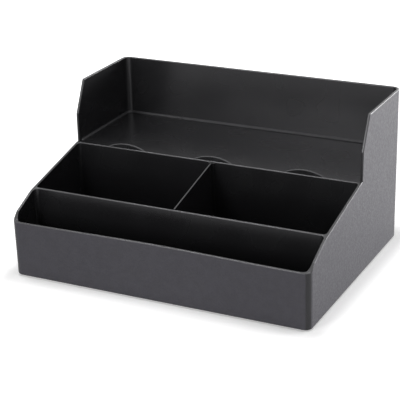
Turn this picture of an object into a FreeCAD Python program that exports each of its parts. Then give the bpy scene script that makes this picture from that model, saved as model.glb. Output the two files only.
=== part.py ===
"""Coffee station organizer: a stepped tray moulded in one piece, with a lift-out centre divider and
four push-in rubber feet. Millimetres, +Z up, front towards -Y.
The sizes are in the moulding's own frame: x from its middle plane, y from the foot of the front
wall, z from its bottom edge. seated() then moves every piece to the frame of the part, whose origin
is the middle of the footprint on the surface that the feet stand on."""
import FreeCAD, Part
import math
import os
from FreeCAD import Vector

# Outside of the moulding
body_width = 303.0  # across the side walls at the bottom edge
body_depth = 230.1  # front wall to back wall at the bottom edge
draft = 0.40  # degrees that every wall leans, outwards or away from its rim
front_bow = 3.4  # how far the front wall's rim is drawn in at the middle of its length
front_corner = 6.5  # corner radius seen from above, at the bottom edge
rear_corner = 7.4
bottom_round = 1.4

# Walls and floors
wall = 2.6  # outer walls
inner_wall = 2.0  # front divider and the wall under the shelf
floor_thickness = 2.0
shelf_thickness = 2.2
skirt = 4.0  # how far the walls reach below the compartments' floor
rim_round = 0.95

# Heights above the bottom edge
front_rim = 55.0
kink_z = 73.3
shelf_z = 93.4
back_rise = 60.6  # shelf to the top of the back wall

# Side outline of the rim, from the front corners to the top of the wings
corner_climb = 2.1  # height of the front slope's line above the front rim, at the front face
ramp_lead = 0.3  # from the front wall's inner face back to where its rim starts to climb
ramp_rise = 1.0  # how steeply it climbs to the side rims round the front corners
ramp_round = 2.0
kink_lead = 5.5  # how far the kink lies in front of the front divider
kink_round = 14.0
shelf_edge_round = 3.0
wing_setback = 2.8  # from the shelf's front edge back to the foot of the wings
wing_lean = 0.8  # how far back the wings' front edges lean, up to the break
wing_break_rise = 28.6  # shelf to the break
wing_break_round = 2.5
wing_slope_run = 15.8  # how far back the slanting edges reach, from the break to the top
wing_top_round = 1.5

# Compartments
divider_y = 41.3  # middle of the front divider's rim
shelf_edge_y = 123.6  # front face of the wall under the shelf, at its rim
front_pocket_corner = 8.0  # at the front wall
middle_pocket_corner = 3.0
pocket_foot_round = 2.5
shelf_foot_round = 2.0
shelf_round_start = 3.0  # from the wings' feet back to where the rounding of the shelf's foot starts

# Arched lips along the shelf's front edge
lip_pitch = 95.0
lip_width = 40.0
lip_height = 4.6
lip_setback = 0.9
lip_thickness = 2.0
lip_bevel = 0.6

# Centre divider, and the upright guides on both sides of it
insert_thickness = 1.5
insert_side_gap = 0.25
insert_end_gap = 0.4
insert_corner_gap = 0.7  # how much larger its lower corners are than the rounding they stand in
insert_top_round = 0.6
guide_width = 2.0
guide_depth = 2.0
guide_drop = 1.2  # how far the guides stop below the rims

# Underside
rib_pitch = 94.0
rib_thickness = 1.4
rib_depth = 10.0
boss_radius = 4.6
boss_inset = 14.0  # from the outer walls to the middle of each foot
boss_web = 1.5
boss_web_foot = 2.5  # height at which the webs of the rear bosses start
boss_roof = 1.2  # what is left of the compartments' floor above a front foot's bore

# Rubber feet
foot_drop = 1.2  # how far the feet stand below the bottom edge
foot_recess = 0.6  # how far the bosses stop above the bottom edge
foot_radius = 6.5
foot_bevel = 0.7
stem_radius = 2.3
stem_end_gap = 0.6
press_interference = 0.05

# How far tools reach past what they cut, and how far joined pieces sink into each other
over = 20.0
sink = 0.5

# Least turn in degrees between two faces whose edge is rounded
least_rim_turn = 20.0


def lean(degrees):
    """Sideways travel per millimetre of height of a face with this draft."""
    return math.tan(math.radians(degrees))


def half_width(z):
    return body_width / 2 + z * lean(draft)


def inner_half(z):
    return half_width(z) - wall


def front_face(z):
    return -z * lean(draft)


def back_face(z):
    return body_depth + z * lean(draft)


def body_height():
    return shelf_z + back_rise


def floor_top():
    return skirt + floor_thickness


def shelf_under():
    return shelf_z - shelf_thickness


def kink_y():
    return divider_y - kink_lead


def front_slope(y):
    """Height of the line that the side rims follow from the front corners to the kink."""
    foot = front_rim + corner_climb
    return foot + (kink_z - foot) * y / kink_y()


def front_grade():
    """How much that line rises for each millimetre of depth."""
    return (front_slope(kink_y()) - front_slope(0)) / kink_y()


def ramp_foot():
    """Where the level front rim would meet the ramp up to the side rims if it weren't rounded."""
    half_turn = math.atan(ramp_rise) / 2
    return front_face(front_rim) + wall + ramp_lead + ramp_round * math.tan(half_turn)


def rear_slope(y):
    """Height of the line that the side rims follow from the kink to the shelf."""
    return kink_z + (shelf_z - kink_z) * (y - kink_y()) / (shelf_edge_y - kink_y())


def divider_rim():
    return rear_slope(divider_y)


def divider_front(z):
    return divider_y - inner_wall / 2 - (divider_rim() - z) * lean(draft)


def divider_back(z):
    return divider_y + inner_wall / 2 + (divider_rim() - z) * lean(draft)


def shelf_wall_front(z):
    return shelf_edge_y - (shelf_z - z) * lean(draft)


def corner_arc(last, point, following, radius):
    """Start, middle and end of the arc that rounds the corner at a point, as far as half of the
    shorter side beside it allows."""
    to_last, to_next = last - point, following - point
    half = to_last.getAngle(to_next) / 2
    reach = min(radius / math.tan(half), 0.49 * to_last.Length, 0.49 * to_next.Length)
    radius = reach * math.tan(half)
    to_last.normalize()
    to_next.normalize()
    inwards = (to_last + to_next).normalize()
    middle = point + inwards * (radius / math.sin(half) - radius)
    return point + to_last * reach, middle, point + to_next * reach


def rounded_outline(points, radii):
    """Closed wire through the points, each corner rounded by its own radius."""
    arcs = [(point, None, point) for point in points]
    for i, (point, radius) in enumerate(zip(points, radii)):
        if radius > 0:
            arcs[i] = corner_arc(points[i - 1], point, points[(i + 1) % len(points)], radius)
    edges = []
    for i, (first, middle, last) in enumerate(arcs):
        if middle:
            edges.append(Part.Arc(first, middle, last).toShape())
        edges.append(Part.LineSegment(last, arcs[(i + 1) % len(arcs)][0]).toShape())
    return Part.Wire(edges)


def side_outline_face(x, points, radii):
    """Face in the plane at x, from points given as (y, z)."""
    return Part.Face(rounded_outline([Vector(x, y, z) for y, z in points], radii))


def wall_profile(center, radius, degrees, ends, slope, edge_round):
    """Upright section of a block's wall beside one of its corners: where its closed end begins, the
    round of that end's edge, the leaning face, and where its open end begins."""
    closed_z, open_z = ends
    turn = math.radians(degrees)
    out = Vector(math.cos(turn), math.sin(turn), 0)
    foot = center + out * (radius + slope * closed_z) + Vector(0, 0, closed_z)
    top = center + out * (radius + slope * open_z) + Vector(0, 0, open_z)
    if not edge_round:
        return [Part.Vertex(foot), Part.LineSegment(foot, top).toShape(), Part.Vertex(top)]
    first, middle, last = corner_arc(foot - out * over, foot, top, edge_round)
    arc, face = Part.Arc(first, middle, last).toShape(), Part.LineSegment(last, top).toShape()
    return [Part.Vertex(first), arc, face, Part.Vertex(top)]


def bowed(left, right, bow):
    """The front wall's leaning face and its upper edge, from its left and right end lines, drawn in
    at the middle by bow at the height of the front rim."""
    (low_left, top_left), (low_right, top_right) = [[v.Point for v in e.Vertexes] for e in (left, right)]
    if low_left.z > top_left.z:
        low_left, top_left, low_right, top_right = top_left, low_left, top_right, low_right
    inwards = bow * (top_left.z - low_left.z) / (front_rim - low_left.z)
    along = (top_right - top_left) / 2
    rim = Part.BSplineCurve()
    middle = top_left + along + Vector(0, inwards, 0)
    rim.interpolate(Points=[top_left, middle, top_right], InitialTangent=along, FinalTangent=along)
    rim = rim.toShape()
    return Part.makeRuledSurface(Part.LineSegment(low_left, low_right).toShape(), rim), rim


def drafted_block(half, y_front, y_back, ends, corners, edge_round, slope, bow=0.0):
    """Solid on a rounded rectangle whose walls all lean by slope. The plan's sizes are those at
    z = 0. ends are the heights of its closed and its open end, and the closed end's edge is rounded.
    corners are the radii of its front and its rear corners."""
    front, rear = corners
    across, front_y, rear_y = half - front, y_front + front, y_back - rear
    around = [
        (Vector(across, front_y, 0), front),
        (Vector(half - rear, rear_y, 0), rear),
        (Vector(rear - half, rear_y, 0), rear),
        (Vector(-across, front_y, 0), front),
    ]
    closed_edges, faces, open_edges = [], [], []
    for i, (center, radius) in enumerate(around):
        degrees = 90 * i - 90
        profile = wall_profile(center, radius, degrees, ends, slope, edge_round)
        swept = [[part.revolve(center, Vector(0, 0, 1), 90) for part in profile]]
        profile = wall_profile(center, radius, degrees + 90, ends, slope, edge_round)
        beyond, beyond_radius = around[(i + 1) % 4]
        following = wall_profile(beyond, beyond_radius, degrees + 90, ends, slope, edge_round)
        travel = following[0].Point - profile[0].Point
        swept.append([part.extrude(travel) for part in profile])
        if bow and i == 3:
            swept[1][-2:] = bowed(profile[-2], following[-2], bow)
        for parts in swept:
            closed_edges.append(parts[0])
            faces += parts[1:-1]
            open_edges.append(parts[-1])
    faces += [Part.Face(Part.Wire(closed_edges)), Part.Face(Part.Wire(open_edges))]
    shell = Part.makeShell(faces)
    shell.sewShape()
    solid = Part.makeSolid(shell)
    return solid if solid.Volume > 0 else solid.reversed()


def face_normals(solid, edge):
    """Outward normals of the two faces that meet in an edge, at its middle."""
    middle = edge.valueAt((edge.FirstParameter + edge.LastParameter) / 2)
    faces = solid.ancestorsOfType(edge, Part.Face)
    return [face.normalAt(*face.Surface.parameter(middle)) for face in faces]


def turns(normals, least):
    """Whether two faces with these normals meet at more than this many degrees."""
    return len(normals) == 2 and math.degrees(normals[0].getAngle(normals[1])) > least


def at_shelf_foot(point):
    """Whether a point lies where a wing or the back wall rises from the shelf."""
    low_enough = shelf_z - sink < point.z < shelf_z + shelf_foot_round
    return low_enough and point.y > shelf_edge_y + wing_setback / 2


def rim_edges(solid):
    """Edges along both sides of every rim, where two faces meet at a clear angle."""
    high = [e for e in solid.Edges if e.CenterOfMass.z > front_rim - sink]
    pairs = [(edge, face_normals(solid, edge)) for edge in high if not at_shelf_foot(edge.CenterOfMass)]
    return [edge for edge, normals in pairs if turns(normals, least_rim_turn)]


def outer_block():
    """The outside of the moulding, still solid."""
    ends = (0, body_height() + sink)
    edge_round = min(bottom_round, 0.8 * wall)
    corners = (front_corner, rear_corner)
    block = drafted_block(half_width(0), 0, body_depth, ends, corners, edge_round, lean(draft), front_bow)
    return block.common(side_block())


def side_block():
    """Everything below the rim's side outline, as one prism across the whole width."""
    top, foot_y = body_height(), shelf_edge_y + wing_setback
    break_y = foot_y + wing_lean
    ramp_top = ramp_foot() + (front_slope(ramp_foot()) - front_rim) / (ramp_rise - front_grade())
    far = body_depth + over
    outline = [
        (-over, -over),
        (far, -over),
        (far, top),
        (break_y + wing_slope_run, top),
        (break_y, shelf_z + wing_break_rise),
        (foot_y, shelf_z),
        (shelf_edge_y, shelf_z),
        (kink_y(), kink_z),
        (ramp_top, front_slope(ramp_top)),
        (ramp_foot(), front_rim),
        (-over, front_rim),
    ]
    rounds = [wing_top_round, wing_break_round, 0, shelf_edge_round, kink_round, ramp_round, ramp_round]
    reach = body_width / 2 + over
    face = side_outline_face(-reach, outline, [0, 0, 0] + rounds + [0])
    return face.extrude(Vector(2 * reach, 0, 0))


def front_level():
    """Tool that keeps the bowed front wall's rim level between the front corners."""
    reach = inner_half(front_rim) - front_pocket_corner + ramp_lead
    length = over + kink_y()
    return Part.makeBox(2 * reach, length, over, Vector(-reach, -over, front_rim))


def front_pocket():
    """Tool for the compartment behind the front wall."""
    radii = (front_pocket_corner, front_corner - wall)
    ends = (floor_top(), divider_rim() + over)
    edge_round = min(pocket_foot_round, 0.8 * min(radii))
    front, back = front_face(0) + wall, divider_front(0)
    return drafted_block(inner_half(0), front, back, ends, radii, edge_round, lean(draft), front_bow)


def middle_pocket():
    """Tool for the room that the centre divider parts into two compartments."""
    radius = middle_pocket_corner
    ends = (floor_top(), shelf_z + over)
    edge_round = min(pocket_foot_round, 0.8 * radius)
    front, back = divider_back(0), shelf_wall_front(0)
    return drafted_block(inner_half(0), front, back, ends, (radius, radius), edge_round, lean(draft))


def shelf_pocket():
    """Tool for the room above the shelf, open towards the front."""
    radius = rear_corner - wall
    ends = (shelf_z, body_height() + over)
    edge_round = min(shelf_foot_round, 0.8 * radius)
    front, back = shelf_edge_y - over, back_face(0) - wall
    block = drafted_block(inner_half(0), front, back, ends, (radius, radius), edge_round, lean(draft))
    low, high = [Vector(inner_half(z), front, z) for z in ends]
    outline = [low, high, Vector(-high.x, front, high.z), Vector(-low.x, front, low.z), low]
    length = shelf_edge_y + wing_setback + shelf_round_start - front
    return block.fuse(Part.Face(Part.makePolygon(outline)).extrude(Vector(0, length, 0)))


def floor_recess():
    """Tool for the shallow recess under the compartments' floor."""
    corners = (front_corner - wall, middle_pocket_corner)
    back = shelf_wall_front(0)
    return drafted_block(inner_half(0), wall, back, (skirt, -sink), corners, 0, 0)


def shelf_hollow():
    """Tool for the hollow under the shelf."""
    corners = (middle_pocket_corner, rear_corner - wall)
    front, back = shelf_edge_y + inner_wall, body_depth - wall
    return drafted_block(inner_half(0), front, back, (shelf_under(), -sink), corners, 0, 0)


def lip(x):
    """One arched lip, a slice of a circle that stands on the shelf's front edge."""
    radius = (lip_width ** 2 / 4 + lip_height ** 2) / (2 * lip_height)
    top = shelf_z + lip_height
    low = shelf_z - shelf_thickness / 2
    half = math.sqrt(radius ** 2 - (radius - (top - low)) ** 2)
    y = shelf_edge_y + lip_setback
    left, right = Vector(x - half, y, low), Vector(x + half, y, low)
    arc = Part.Arc(left, Vector(x, y, top), right).toShape()
    face = Part.Face(Part.Wire([arc, Part.LineSegment(right, left).toShape()]))
    solid = face.extrude(Vector(0, lip_thickness, 0))
    arcs = [e for e in solid.Edges if isinstance(e.Curve, Part.Circle)]
    return solid.makeChamfer(min(lip_bevel, 0.45 * lip_thickness), arcs)


def guide(side, on_divider):
    """One upright guide beside the centre divider, on the front divider or on the wall under the shelf."""
    low = skirt + floor_thickness / 2
    if on_divider:
        high, root = divider_rim() - guide_drop, divider_y
        tips = [divider_back(z) + guide_depth for z in (low, high)]
    else:
        high, root = shelf_z - guide_drop, shelf_edge_y + inner_wall / 2
        tips = [shelf_wall_front(z) - guide_depth for z in (low, high)]
    outline = [(root, low), (tips[0], low), (tips[1], high), (root, high)]
    x = side * (insert_thickness / 2 + insert_side_gap)
    return side_outline_face(x, outline, [0] * 4).extrude(Vector(side * guide_width, 0, 0))


def shelf_rib(x):
    """One stiffening rib under the shelf, from the wall in front of it to the back wall."""
    y = shelf_edge_y + inner_wall / 2
    length = body_depth - wall / 2 - y
    height = rib_depth + sink
    corner = Vector(x - rib_thickness / 2, y, shelf_under() - rib_depth)
    return Part.makeBox(rib_thickness, length, height, corner)


def foot_places():
    """The name and the middle of each foot."""
    x = body_width / 2 - boss_inset
    rear = body_depth - boss_inset
    return {
        "foot_front_left": Vector(-x, boss_inset, 0),
        "foot_front_right": Vector(x, boss_inset, 0),
        "foot_rear_left": Vector(-x, rear, 0),
        "foot_rear_right": Vector(x, rear, 0),
    }


def boss(at):
    """Post that holds a foot. A rear one reaches up to the shelf and is webbed to the walls."""
    at_rear = at.y > body_depth / 2
    height = (shelf_under() if at_rear else skirt) + sink - foot_recess
    post = Part.makeCylinder(boss_radius, height, at + Vector(0, 0, foot_recess))
    if not at_rear:
        return post
    reach = boss_inset - wall / 2
    tall = shelf_under() + sink - boss_web_foot
    x = at.x if at.x > 0 else at.x - reach
    to_side = Part.makeBox(reach, boss_web, tall, Vector(x, at.y - boss_web / 2, boss_web_foot))
    to_back = Part.makeBox(boss_web, reach, tall, Vector(at.x - boss_web / 2, at.y, boss_web_foot))
    return post.fuse([to_side, to_back])


def bore_depth():
    return floor_top() - boss_roof - foot_recess


def foot_bore(at):
    return Part.makeCylinder(stem_radius, bore_depth() + over, at + Vector(0, 0, foot_recess - over))


def tray_body():
    """The moulding: walls, floors, front divider, shelf, wings, lips and what is under them."""
    tools = [front_level(), front_pocket(), middle_pocket(), shelf_pocket()]
    solid = outer_block().cut(tools).removeSplitter()
    solid = solid.makeFillet(min(rim_round, 0.45 * wall, 0.45 * inner_wall), rim_edges(solid))
    solid = solid.cut([floor_recess(), shelf_hollow()])
    places = foot_places().values()
    added = [lip(x) for x in (-lip_pitch, 0, lip_pitch)]
    added += [guide(side, on_divider) for side in (-1, 1) for on_divider in (True, False)]
    added += [shelf_rib(x) for x in (-rib_pitch / 2, rib_pitch / 2)]
    added += [boss(at) for at in places]
    solid = solid.fuse(added).cut([foot_bore(at) for at in places])
    return solid.removeSplitter().Solids[0]


def center_divider():
    """Thin plate that drops in between the guides, its top edge level with the rims."""
    def front(z):
        return divider_back(z) + insert_end_gap

    def back(z):
        return shelf_wall_front(z) - insert_end_gap

    low = floor_top()
    front_top, back_top = front(divider_rim()), back(shelf_z)
    outline = [
        (front(low), low),
        (back(low), low),
        (back_top, rear_slope(back_top)),
        (front_top, rear_slope(front_top)),
    ]
    corner = pocket_foot_round + insert_corner_gap
    face = side_outline_face(-insert_thickness / 2, outline, [corner, corner, 0, 0])
    plate = face.extrude(Vector(insert_thickness, 0, 0))
    high = [e for e in plate.Edges if e.CenterOfMass.z > divider_rim()]
    rims = [e for e in high if e.Length > insert_thickness + sink]
    return plate.makeFillet(min(insert_top_round, 0.45 * insert_thickness), rims).Solids[0]


def foot(at):
    """Turned rubber foot: a head, and a stem that is pressed into its bore."""
    top = foot_recess + bore_depth() - stem_end_gap
    radius = stem_radius + press_interference
    outline = [
        (0, top),
        (radius, top),
        (radius, foot_recess),
        (foot_radius, foot_recess),
        (foot_radius, foot_bevel - foot_drop),
        (foot_radius - foot_bevel, -foot_drop),
        (0, -foot_drop),
        (0, top),
    ]
    half_section = Part.Face(Part.makePolygon([Vector(x, 0, z) for x, z in outline]))
    solid = half_section.revolve(Vector(0, 0, 0), Vector(0, 0, 1), 360)
    solid.translate(at)
    return solid


def seated(shape):
    """Moves a piece to the part's frame."""
    front, back = front_face(front_rim - rim_round), back_face(body_height() - rim_round)
    return shape.translated(Vector(0, -(front + back) / 2, foot_drop))


def main():
    pieces = {"tray_body": tray_body(), "center_divider": center_divider()}
    pieces.update({name: foot(at) for name, at in foot_places().items()})
    os.makedirs("parts", exist_ok=True)
    for name, solid in pieces.items():
        if not solid.isValid() or solid.ShapeType != "Solid":
            raise ValueError(name + " is not one valid solid")
        seated(solid).exportStep("parts/" + name + ".step")
        print(name, round(solid.Volume / 1000, 2), "cm3")


main()
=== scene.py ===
"""Dresses the coffee station organizer: charcoal plastic with a fine grained outside and a polished
inside, rubber feet and a white studio. Metres, in the frame's axes."""
import math

import bpy
from mathutils import Matrix, Vector


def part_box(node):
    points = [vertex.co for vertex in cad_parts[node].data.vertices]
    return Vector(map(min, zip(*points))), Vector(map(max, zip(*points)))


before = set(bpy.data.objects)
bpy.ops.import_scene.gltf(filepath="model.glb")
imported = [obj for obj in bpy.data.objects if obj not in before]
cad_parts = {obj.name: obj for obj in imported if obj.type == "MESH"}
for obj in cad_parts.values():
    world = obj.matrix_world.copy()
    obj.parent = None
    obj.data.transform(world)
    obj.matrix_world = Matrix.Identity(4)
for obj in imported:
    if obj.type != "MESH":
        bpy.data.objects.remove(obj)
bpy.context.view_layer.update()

bl_info = {
    "name": "Coffee Station Organizer",
    "version": (1, 0, 0),
    "blender": (4, 5, 0),
    "location": "3D View > Sidebar > Organizer",
    "description": "Finishes and studio for a stepped organizer tray",
    "category": "Object",
}

MM = 0.001
TRAY_LOW, TRAY_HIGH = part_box("tray_body")
SKIN = 10 * MM  # the tray's outer faces lie within this of its box
LOWEST_RIM = 20 * MM
SHELF = 94.6 * MM  # height of the shelf's face
SHELF_BAY = 16 * MM  # behind this, what is level with the shelf is its face and fillets
FILLET = 3 * MM  # the shelf's fillets end below this height above its face
DIVIDER_FACE = -75.1 * MM  # front face of the front divider
DIVIDER_LEAN = 3 * MM  # its draft moves that face by less than this
SINK_X = -2.5 * MM  # where the guides stand behind it
SINK_REACH = 1.3 * MM  # half the sink mark's width
SINK_DEPTH = 0.12 * MM

# Parts of a face's normal, between which a mask goes from 0 to 1
FACE_ON = (0.9, 0.97)  # outwards, where an outer face's grain starts
RIM_TILT = (0.15, 0.5)  # up, where the round of a rim turns to the lighter grey of its painted highlight
OFF_WALL = (0.02, 0.15)  # up, where a wall turns into its fillet
OFF_SHELF = (0.99, 0.93)  # up, where the shelf turns into its fillet
LEVEL = 0.97  # what looks up more than this is a level face

# Sizes of the textures
DUST = 3 * MM
PITS = 0.35 * MM
PIT_DEPTH = 0.05 * MM
CLOUDS = 40 * MM
RIPPLE = 30 * MM
RIPPLE_DEPTH = 0.15 * MM
BLOTCHES = 9 * MM
MOTTLE = 4.2  # in grains
MOTTLE_WEIGHT = 2.7  # how much higher it is than the grain
NOISE_RANGE = (0.3, 0.7)  # most of a noise's values lie between these

# Floor
FIBRES = 4 * MM
SHADOW = (4 * MM, 42 * MM)  # gap from the tray over which its shadow fades
SIDE_FADE = 1.7  # how much sooner it fades beside the tray than in front
SWEEP = (0.3, 1.0)  # distances over which the floor turns all white
MIRROR = (-0.2, 0.3)  # y over which the mirrored floor goes from its front's white to its back's

# Each lamp's name, place, width and height, and the setting for its power. All look at the tray's middle.
LAMPS = (
    ("front_softbox", (-0.1, -1.4, 0.35), (1.3, 0.6), "front_light"),
    ("edge_lamp", (-0.35, -1.15, 0.7), (0.3, 0.3), "edge_light"),
    ("overhead_lamp", (-0.5, 0, 1.2), (0.3, 0.3), "over_light"),
    ("top_softbox", (0.5, 0, 1.4), (0.8, 1.2), "top_light"),
    ("back_softbox", (1.5, 1.5, 0.3), (2.2, 0.5), "back_light"),
)


def node(tree, kind, inputs=(), **settings):
    """Adds a node. inputs maps a socket's name or index to a value or to another node's output."""
    made = tree.nodes.new(kind)
    for name, value in settings.items():
        setattr(made, name, value)
    for name, value in dict(inputs).items():
        if isinstance(value, bpy.types.NodeSocket):
            tree.links.new(value, made.inputs[name])
        else:
            made.inputs[name].default_value = value
    return made


def math_of(tree, operation, *values):
    """Output of a Math node."""
    return node(tree, "ShaderNodeMath", enumerate(values), operation=operation).outputs[0]


def product(tree, *values):
    """Output of the Math nodes that multiply the values."""
    result = values[0]
    for value in values[1:]:
        result = math_of(tree, "MULTIPLY", result, value)
    return result


def gap(tree, value, level):
    """How far a value is from a level, above or below it."""
    return math_of(tree, "ABSOLUTE", math_of(tree, "SUBTRACT", value, level))


def around(middle, spread):
    """The values that lie this share below and above the middle one."""
    return middle * (1 - spread), middle * (1 + spread)


def between(tree, value, low, high, out_low=0.0, out_high=1.0, smooth=True):
    """Output of a Map Range node that clamps."""
    kind = "SMOOTHSTEP" if smooth else "LINEAR"
    inputs = {"Value": value, "From Min": low, "From Max": high, "To Min": out_low, "To Max": out_high}
    return node(tree, "ShaderNodeMapRange", inputs, interpolation_type=kind).outputs[0]


def noise(tree, coordinates, size, detail=2.0, roughness=0.5):
    """Output of a Noise Texture whose blobs are about this size."""
    inputs = {"Vector": coordinates, "Scale": 1 / size, "Detail": detail, "Roughness": roughness}
    return node(tree, "ShaderNodeTexNoise", inputs).outputs["Fac"]


def material(name):
    """A new material's tree, its Principled shader and its object coordinates."""
    made = bpy.data.materials.new(name)
    made.use_nodes = True
    tree = made.node_tree
    shader = next(n for n in tree.nodes if n.type == "BSDF_PRINCIPLED")
    coordinates = node(tree, "ShaderNodeTexCoord").outputs["Object"]
    return made, tree, shader, coordinates


def shades(tree, factor, dark, light):
    """Output of a two-colour ramp between the given colours."""
    ramp = node(tree, "ShaderNodeMix", {"Factor": factor, "A": (*dark, 1), "B": (*light, 1)}, data_type="RGBA")
    return ramp.outputs["Result"]


def place_and_facing(tree, coordinates):
    """The x, y and z outputs of where a face is, and those of where it looks."""
    normal = node(tree, "ShaderNodeNewGeometry").outputs["Normal"]
    return [node(tree, "ShaderNodeSeparateXYZ", {0: vector}).outputs for vector in (coordinates, normal)]


def outside_mask(tree, coordinates):
    """1 on the outer faces of the moulding and 0 inside it, from where a face is and where it looks."""
    (x, y, _), (to_right, to_back, _) = place_and_facing(tree, coordinates)
    to_side = product(tree, math_of(tree, "SIGN", x), to_right)
    to_front = product(tree, to_back, -1)
    at_side = math_of(tree, "GREATER_THAN", math_of(tree, "ABSOLUTE", x), TRAY_HIGH.x - SKIN)
    at_front = math_of(tree, "LESS_THAN", y, TRAY_LOW.y + SKIN)
    at_back = math_of(tree, "GREATER_THAN", y, TRAY_HIGH.y - SKIN)
    mask = 0
    for near, outwards in ((at_side, to_side), (at_front, to_front), (at_back, to_back)):
        mask = math_of(tree, "MAXIMUM", mask, product(tree, near, between(tree, outwards, *FACE_ON)))
    return mask


def rim_highlight_mask(tree, coordinates):
    """1 on the rounded and sloping rims, where a painted highlight turns the plastic a lighter grey."""
    (_, y, height), (_, _, up) = place_and_facing(tree, coordinates)
    from_shelf = gap(tree, height, SHELF)
    tilted = math_of(tree, "LESS_THAN", up, LEVEL)
    off_shelf = math_of(tree, "GREATER_THAN", from_shelf, MM)
    before_bay = math_of(tree, "LESS_THAN", y, SHELF_BAY)
    off_fillets = math_of(tree, "GREATER_THAN", from_shelf, 2 * FILLET)
    off_face = math_of(tree, "MAXIMUM", tilted, off_shelf)
    off_bay = math_of(tree, "MAXIMUM", before_bay, off_fillets)
    above_floor = math_of(tree, "GREATER_THAN", height, LOWEST_RIM)
    return product(tree, off_face, off_bay, above_floor, between(tree, up, *RIM_TILT))


def fillet_mask(tree, coordinates):
    """1 in the fillets behind and beside the shelf, which the mould leaves matt."""
    (_, y, height), (_, _, up) = place_and_facing(tree, coordinates)
    near = math_of(tree, "LESS_THAN", gap(tree, height, SHELF), FILLET)
    in_bay = math_of(tree, "GREATER_THAN", y, SHELF_BAY)
    return product(tree, near, in_bay, between(tree, up, *OFF_WALL), between(tree, up, *OFF_SHELF))


def sink_mark(tree, coordinates):
    """1 along the shallow dent down the front divider's face, where the guides behind it cooled last."""
    x, y, _ = node(tree, "ShaderNodeSeparateXYZ", {0: coordinates}).outputs
    near = math_of(tree, "LESS_THAN", gap(tree, y, DIVIDER_FACE), DIVIDER_LEAN)
    return product(tree, near, between(tree, gap(tree, x, SINK_X), 0, SINK_REACH, 1, 0))


def plastic(name, finish, textured):
    """Charcoal plastic. A textured one is grained outside and polished inside, and its outer faces take a
    lighter charcoal that stands in for the light on the outer walls.
    """
    made, tree, shader, coordinates = material(name)
    inside, outside = Vector(finish.inside_color), Vector(finish.outside_color_with_painted_light)
    clouds = noise(tree, coordinates, CLOUDS, detail=3.0)
    color = shades(tree, clouds, *around(inside, 0.08))
    ripple = noise(tree, coordinates, RIPPLE, detail=0.0)
    roughness = between(tree, ripple, *NOISE_RANGE, *around(finish.inside_roughness, 0.06))
    inputs = {"Height": ripple, "Strength": 0.2, "Distance": RIPPLE_DEPTH}
    normal = node(tree, "ShaderNodeBump", inputs).outputs[0]
    if textured:
        inputs = {"Height": sink_mark(tree, coordinates), "Distance": SINK_DEPTH, "Normal": normal}
        normal = node(tree, "ShaderNodeBump", inputs, invert=True).outputs[0]
        mask = outside_mask(tree, coordinates)
        grain = noise(tree, coordinates, finish.grain_size, roughness=0.55)
        mottle = noise(tree, coordinates, MOTTLE * finish.grain_size, roughness=0.6)
        blotches = noise(tree, coordinates, BLOTCHES, detail=3.0, roughness=0.6)
        blotches = between(tree, blotches, *NOISE_RANGE)
        # the outer faces take the lighter outside charcoal, in part painted light on the lit outer walls, with
        # random blotches
        inputs = {"Factor": mask, "A": color, "B": shades(tree, blotches, *around(outside, 0.1))}
        color = node(tree, "ShaderNodeMix", inputs, data_type="RGBA").outputs["Result"]
        grained = between(tree, mottle, *NOISE_RANGE, *around(finish.outside_roughness, 0.2))
        roughness = node(tree, "ShaderNodeMix", {0: mask, 2: roughness, 3: grained}).outputs[0]
        inputs = {0: fillet_mask(tree, coordinates), 2: roughness, 3: finish.fillet_roughness}
        roughness = node(tree, "ShaderNodeMix", inputs).outputs[0]
        height = math_of(tree, "ADD", grain, product(tree, mottle, MOTTLE_WEIGHT))
        inputs = {"Height": height, "Strength": mask, "Distance": finish.grain_depth, "Normal": normal}
        normal = node(tree, "ShaderNodeBump", inputs).outputs[0]
    # painted highlight: the rims take a lighter grey that stands in for the light their rounds catch
    inputs = {"Factor": rim_highlight_mask(tree, coordinates), "A": color, "B": (*finish.rim_color, 1)}
    color = node(tree, "ShaderNodeMix", inputs, data_type="RGBA").outputs["Result"]
    links = {"Base Color": color, "Roughness": roughness, "Normal": normal}
    for socket, output in links.items():
        tree.links.new(output, shader.inputs[socket])
    shader.inputs["IOR"].default_value = 1.5
    shader.inputs["Specular Tint"].default_value = (0.97, 0.96, 1.0, 1)
    return made


def rubber(finish):
    """Matt black rubber with a dusty, lightly pitted skin."""
    made, tree, shader, coordinates = material("foot_rubber")
    base = Vector(finish.rubber_color)
    dust = noise(tree, coordinates, DUST, detail=4.0, roughness=0.6)
    color = shades(tree, between(tree, dust, 0.4, 0.75), base, base * 1.6)
    tree.links.new(color, shader.inputs["Base Color"])
    pits = noise(tree, coordinates, PITS)
    bump = node(tree, "ShaderNodeBump", {"Height": pits, "Strength": 0.6, "Distance": PIT_DEPTH})
    tree.links.new(bump.outputs[0], shader.inputs["Normal"])
    tree.links.new(between(tree, dust, 0.3, 0.8, 0.72, 0.9), shader.inputs["Roughness"])
    return made


def dress(name, made):
    """Gives a CAD node its material."""
    mesh_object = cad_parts[name]
    if not mesh_object.material_slots:
        mesh_object.data.materials.append(made)
    for slot in mesh_object.material_slots:
        slot.link = "OBJECT"
        slot.material = made


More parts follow.
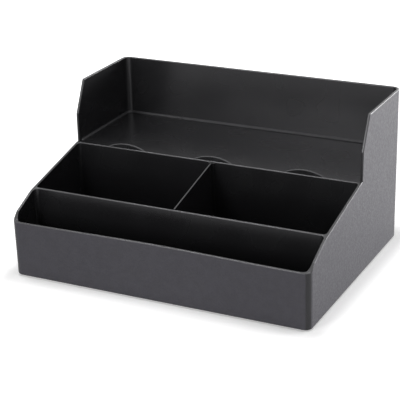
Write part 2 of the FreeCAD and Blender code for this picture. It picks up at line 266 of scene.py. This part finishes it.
class FinishSettings(bpy.types.PropertyGroup):
    inside_color: bpy.props.FloatVectorProperty(
        name="Inside", description="Charcoal of the polished faces", subtype="COLOR",
        default=(0.0100, 0.0100, 0.0108), min=0, max=1,
    )
    # in part painted light: this charcoal is lighter than the inside one to stand in for the light on the
    # outer walls
    outside_color_with_painted_light: bpy.props.FloatVectorProperty(
        name="Outside", description="Charcoal of the grained faces", subtype="COLOR",
        default=(0.0290, 0.0277, 0.0350), min=0, max=1,
    )
    # painted highlight: a lighter grey for the rims' rounds, standing in for the light they catch
    rim_color: bpy.props.FloatVectorProperty(
        name="Rims", description="Grey of the handled rims", subtype="COLOR",
        default=(0.062, 0.062, 0.064), min=0, max=1,
    )
    rubber_color: bpy.props.FloatVectorProperty(
        name="Rubber", description="Black of the rubber feet", subtype="COLOR",
        default=(0.018, 0.018, 0.019), min=0, max=1,
    )
    outside_roughness: bpy.props.FloatProperty(
        name="Outside roughness", description="Roughness of the grained outer faces",
        default=0.5, min=0, max=1, subtype="FACTOR",
    )
    inside_roughness: bpy.props.FloatProperty(
        name="Inside roughness", description="Roughness of the polished inner faces",
        default=0.26, min=0, max=1, subtype="FACTOR",
    )
    fillet_roughness: bpy.props.FloatProperty(
        name="Fillet roughness", description="Roughness of the fillets round the shelf",
        default=0.6, min=0, max=1, subtype="FACTOR",
    )
    grain_size: bpy.props.FloatProperty(
        name="Grain size", description="Size of one grain of the outer texture",
        default=0.5 * MM, min=0.1 * MM, max=3 * MM, subtype="DISTANCE", precision=5,
    )
    grain_depth: bpy.props.FloatProperty(
        name="Grain depth", description="Depth of the outer texture",
        default=0.09 * MM, min=0, max=0.5 * MM, subtype="DISTANCE", precision=5,
    )


class StudioSettings(bpy.types.PropertyGroup):
    azimuth: bpy.props.FloatProperty(
        name="Azimuth", description="How far the camera stands to the right of the front",
        default=math.radians(27.01), subtype="ANGLE",
    )
    elevation: bpy.props.FloatProperty(
        name="Elevation", description="How far the camera looks down",
        default=math.radians(22.06), subtype="ANGLE",
    )
    roll: bpy.props.FloatProperty(
        name="Roll", description="Turn of the camera about its view",
        default=math.radians(-1.753), subtype="ANGLE",
    )
    distance: bpy.props.FloatProperty(
        name="Distance", description="Camera to the point it looks at", default=1.3005, subtype="DISTANCE",
    )
    target: bpy.props.FloatVectorProperty(
        name="Target", description="Point in the middle of the picture",
        default=(-0.0026, -0.0144, 0.0627), subtype="XYZ", unit="LENGTH",
    )
    lens: bpy.props.FloatProperty(
        name="Lens", description="Focal length in millimetres", default=122.3, min=10,
    )
    surround: bpy.props.FloatProperty(
        name="Surround", description="Light that the white room sheds on the object", default=0.05, min=0,
    )
    front_light: bpy.props.FloatProperty(
        name="Front light", description="Power of the low softbox in front", default=6.5,
        min=0, unit="POWER",
    )
    edge_light: bpy.props.FloatProperty(
        name="Edge light", description="Power of the small lamp at the front left that lines the rims",
        default=3.0, min=0, unit="POWER",
    )
    over_light: bpy.props.FloatProperty(
        name="Overhead light", description="Power of the small lamp above the left half", default=4.0,
        min=0, unit="POWER",
    )
    top_light: bpy.props.FloatProperty(
        name="Top light", description="Power of the softbox above the right half", default=7.0,
        min=0, unit="POWER",
    )
    back_light: bpy.props.FloatProperty(
        name="Back light", description="Power of the low softbox behind the right wall", default=56.0,
        min=0, unit="POWER",
    )
    floor_lift: bpy.props.FloatProperty(
        name="Floor lift", description="White added to the floor near the object, where the camera sees it",
        default=0.29, min=0,
    )
    floor_tilt: bpy.props.FloatProperty(
        name="Floor tilt", description="How much the floor's white grows per metre to the left", default=0.2,
    )
    floor_edge: bpy.props.FloatProperty(
        name="Floor edge", description="White added just outside the shadow beside the object",
        default=0.4, min=0,
    )
    mirror_front: bpy.props.FloatProperty(
        name="Mirrored front", description="White added to the floor's front where the plastic mirrors it",
        default=0.22, min=0,
    )
    mirror_back: bpy.props.FloatProperty(
        name="Mirrored back", description="White added to the floor's back where the plastic mirrors it",
        default=0.8, min=0,
    )
    floor_sweep: bpy.props.FloatProperty(
        name="Floor sweep", description="White added far from the object", default=0.7, min=0,
    )


class OBJECT_OT_organizer_tray(bpy.types.Operator):
    """Finish the moulded tray and its lift-out divider"""

    bl_idname = "object.organizer_tray"
    bl_label = "Tray and Divider"

    def execute(self, context):
        finish = context.scene.organizer_finish
        dress("tray_body", plastic("tray_plastic", finish, True))
        dress("center_divider", plastic("divider_plastic", finish, False))
        return {"FINISHED"}


class OBJECT_OT_organizer_feet(bpy.types.Operator):
    """Finish the rubber feet"""

    bl_idname = "object.organizer_feet"
    bl_label = "Rubber Feet"

    def execute(self, context):
        made = rubber(context.scene.organizer_finish)
        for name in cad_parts:
            if name.startswith("foot_"):
                dress(name, made)
        return {"FINISHED"}


def area_light(name, place, aim, size, power):
    """A rectangular soft light that looks at a point."""
    data = bpy.data.lights.new(name, "AREA")
    data.shape = "RECTANGLE"
    data.size, data.size_y = size
    data.energy = power
    lamp = bpy.data.objects.new(name, data)
    lamp.location = place
    lamp.rotation_euler = (Vector(aim) - Vector(place)).to_track_quat("-Z", "Y").to_euler()
    bpy.context.scene.collection.objects.link(lamp)


class OBJECT_OT_organizer_stage(bpy.types.Operator):
    """Camera, floor, soft lights and white surround"""

    bl_idname = "object.organizer_stage"
    bl_label = "Studio"

    def execute(self, context):
        studio = context.scene.organizer_studio
        self.camera(context, studio)
        self.surround(context, studio)
        self.floor(studio)
        middle = (TRAY_LOW + TRAY_HIGH) / 2
        for name, place, size, setting in LAMPS:
            area_light(name, place, middle, size, getattr(studio, setting))
        context.scene.view_settings.view_transform = "Standard"
        return {"FINISHED"}

    def camera(self, context, studio):
        """Camera at the photograph's viewing angle."""
        a, e = studio.azimuth, studio.elevation
        back = Vector((math.sin(a) * math.cos(e), -math.cos(a) * math.cos(e), math.sin(e)))
        right = Vector((0, 0, 1)).cross(back).normalized()
        up = back.cross(right)
        c, s = math.cos(studio.roll), math.sin(studio.roll)
        turned_right, turned_up = right * c + up * s, up * c - right * s
        data = bpy.data.cameras.new("camera")
        data.lens, data.sensor_width = studio.lens, 36.0
        data.clip_start, data.clip_end = 0.01, 50.0
        camera = bpy.data.objects.new("camera", data)
        place = Vector(studio.target) + back * studio.distance
        turn = Matrix((turned_right, turned_up, back)).transposed()
        camera.matrix_world = Matrix.Translation(place) @ turn.to_4x4()
        context.scene.collection.objects.link(camera)
        context.scene.camera = camera

    def surround(self, context, studio):
        """White room: pure white where it is seen or mirrored, dim as a light."""
        world = bpy.data.worlds.new("white_room")
        world.use_nodes = True
        context.scene.world = world
        tree = world.node_tree
        background = next(n for n in tree.nodes if n.type == "BACKGROUND")
        path = node(tree, "ShaderNodeLightPath")
        seen = math_of(tree, "MAXIMUM", path.outputs["Is Camera Ray"], path.outputs["Is Glossy Ray"])
        strength = between(tree, seen, 0, 1, studio.surround, 1.0, smooth=False)
        tree.links.new(strength, background.inputs["Strength"])
        background.inputs["Color"].default_value = (1, 1, 1, 1)

    def floor(self, studio):
        """White floor that keeps the object's shadow, lifted towards white where it is seen or mirrored."""
        mesh = bpy.data.meshes.new("floor")
        reach = 6.0
        corners = [(-reach, -reach, 0), (reach, -reach, 0), (reach, reach, 0), (-reach, reach, 0)]
        mesh.from_pydata(corners, [], [(0, 1, 2, 3)])
        floor = bpy.data.objects.new("floor", mesh)
        bpy.context.scene.collection.objects.link(floor)
        made, tree, shader, coordinates = material("floor_paper")
        fibres = noise(tree, coordinates, FIBRES, detail=3.0)
        color = shades(tree, fibres, (0.9, 0.9, 0.9), (0.92, 0.92, 0.92))
        tree.links.new(color, shader.inputs["Base Color"])
        shader.inputs["Roughness"].default_value = 0.9
        shader.inputs["Specular IOR Level"].default_value = 0.0
        path = node(tree, "ShaderNodeLightPath")
        x, y, _ = node(tree, "ShaderNodeSeparateXYZ", {0: coordinates}).outputs
        near = math_of(tree, "ADD", product(tree, x, -studio.floor_tilt), studio.floor_lift)
        near = between(tree, near, 0, 1, smooth=False)
        away = node(tree, "ShaderNodeVectorMath", {0: coordinates}, operation="LENGTH").outputs["Value"]
        far = between(tree, away, *SWEEP, 0, studio.floor_sweep)
        half = (*((TRAY_HIGH - TRAY_LOW) / 2).to_2d(), 1.0)
        outwards = node(tree, "ShaderNodeVectorMath", {0: coordinates}, operation="ABSOLUTE").outputs[0]
        steps = (("SUBTRACT", half), ("MAXIMUM", (0, 0, 0)), ("MULTIPLY", (SIDE_FADE, 1, 1)))
        for operation, value in steps:
            inputs = {0: outwards, 1: value}
            outwards = node(tree, "ShaderNodeVectorMath", inputs, operation=operation).outputs[0]
        from_tray = node(tree, "ShaderNodeVectorMath", {0: outwards}, operation="LENGTH").outputs["Value"]
        beside = between(tree, from_tray, *SHADOW, 0, studio.floor_edge)
        seen = math_of(tree, "ADD", math_of(tree, "ADD", near, beside), far)
        seen = product(tree, seen, path.outputs["Is Camera Ray"])
        mirrored = between(tree, y, *MIRROR, studio.mirror_front, studio.mirror_back)
        mirrored = product(tree, mirrored, path.outputs["Is Glossy Ray"])
        lift = math_of(tree, "ADD", seen, mirrored)
        shader.inputs["Emission Color"].default_value = (1, 1, 1, 1)
        tree.links.new(lift, shader.inputs["Emission Strength"])
        mesh.materials.append(made)


class VIEW3D_PT_organizer(bpy.types.Panel):
    """Lists the organizer's settings and operators"""

    bl_label = "Organizer"
    bl_idname = "VIEW3D_PT_organizer"
    bl_space_type = "VIEW_3D"
    bl_region_type = "UI"
    bl_category = "Organizer"

    def draw(self, context):
        layout = self.layout
        for settings in (context.scene.organizer_finish, context.scene.organizer_studio):
            box = layout.box()
            for name in settings.bl_rna.properties.keys():
                if name not in ("rna_type", "name"):
                    box.prop(settings, name)
        for operator in OPERATORS:
            layout.operator(operator.bl_idname)


OPERATORS = (OBJECT_OT_organizer_tray, OBJECT_OT_organizer_feet, OBJECT_OT_organizer_stage)
CLASSES = (FinishSettings, StudioSettings, *OPERATORS, VIEW3D_PT_organizer)


def register():
    for made in CLASSES:
        bpy.utils.register_class(made)
    bpy.types.Scene.organizer_finish = bpy.props.PointerProperty(type=FinishSettings)
    bpy.types.Scene.organizer_studio = bpy.props.PointerProperty(type=StudioSettings)


def unregister():
    del bpy.types.Scene.organizer_finish
    del bpy.types.Scene.organizer_studio
    for made in reversed(CLASSES):
        bpy.utils.unregister_class(made)


def main():
    register()
    bpy.ops.object.organizer_stage()
    bpy.ops.object.organizer_tray()
    bpy.ops.object.organizer_feet()


if __name__ == "__main__":
    main()
